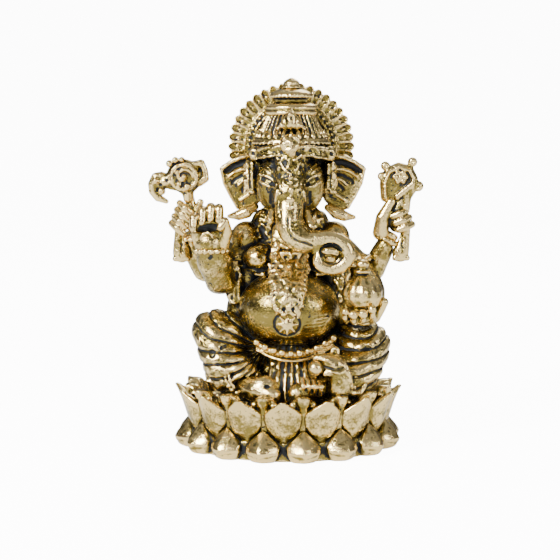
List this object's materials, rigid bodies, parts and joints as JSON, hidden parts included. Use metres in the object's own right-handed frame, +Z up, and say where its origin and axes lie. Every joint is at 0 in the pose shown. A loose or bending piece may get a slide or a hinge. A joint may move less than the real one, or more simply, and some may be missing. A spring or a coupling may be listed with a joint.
{
  "type": "seated elephant-headed deity figurine",
  "caption": "Cast brass shelf figurine: a four-armed, elephant-headed seated figure with a crown and halo, on a round double-lotus base that stands on its flat underside.",
  "frame": {"origin": "centre of the lotus base's flat underside, where it rests on a shelf", "axes": "+Z up from the underside to the crown's tip; -Y is the way the figure faces; +X is to the figure's left"},
  "size_m": [0.0554, 0.046, 0.075],
  "materials": {
    "polished_brass": "raised surfaces rubbed bright over black patina",
    "antique_brass": "cast and pitted, black patina left in the recesses",
    "dark_brass": "black patina over brass"
  },
  "bodies": {
    "root": {"lotus_core": "dark_brass", "lower_petals": "polished_brass", "upper_petals": "polished_brass", "inner_petals": "antique_brass", "mouse_sweet": "polished_brass", "mouse": "antique_brass", "right_foot": "polished_brass", "left_foot": "antique_brass", "right_anklet": "antique_brass", "left_anklet": "antique_brass", "bead_belt": "polished_brass", "navel_flower": "polished_brass", "right_leg": "antique_brass", "left_leg": "antique_brass", "skirt_front": "antique_brass", "halo_leaves": "antique_brass", "halo_plate": "dark_brass", "forehead_jewel": "polished_brass", "crown_palmette": "polished_brass", "crown_finial": "polished_brass", "crown_tier": "polished_brass", "crown_upper_ring": "polished_brass", "crown_cone": "antique_brass", "crown_lower_ring": "antique_brass", "headband": "antique_brass", "right_lappet": "antique_brass", "left_lappet": "antique_brass", "right_earring": "antique_brass", "left_earring": "antique_brass", "right_ear": "antique_brass", "left_ear": "antique_brass", "right_tusk": "polished_brass", "left_tusk": "polished_brass", "trunk": "polished_brass", "head": "antique_brass", "sweet": "polished_brass", "axe_head": "antique_brass", "axe_tail": "antique_brass", "noose": "antique_brass", "noose_tail": "antique_brass", "right_front_bracelet": "antique_brass", "right_rear_bracelet": "antique_brass", "left_rear_bracelet": "antique_brass", "right_armlet": "antique_brass", "left_armlet": "antique_brass", "right_front_hand": "polished_brass", "right_front_arm": "antique_brass", "right_rear_hand": "polished_brass", "right_rear_arm": "antique_brass", "left_rear_hand": "polished_brass", "left_rear_arm": "antique_brass", "left_front_hand": "polished_brass", "left_front_arm": "antique_brass", "pendant": "polished_brass", "chest_cloth": "polished_brass", "right_drape": "antique_brass", "left_drape": "antique_brass", "belly": "antique_brass", "torso": "antique_brass"}
  },
  "joints": []
}
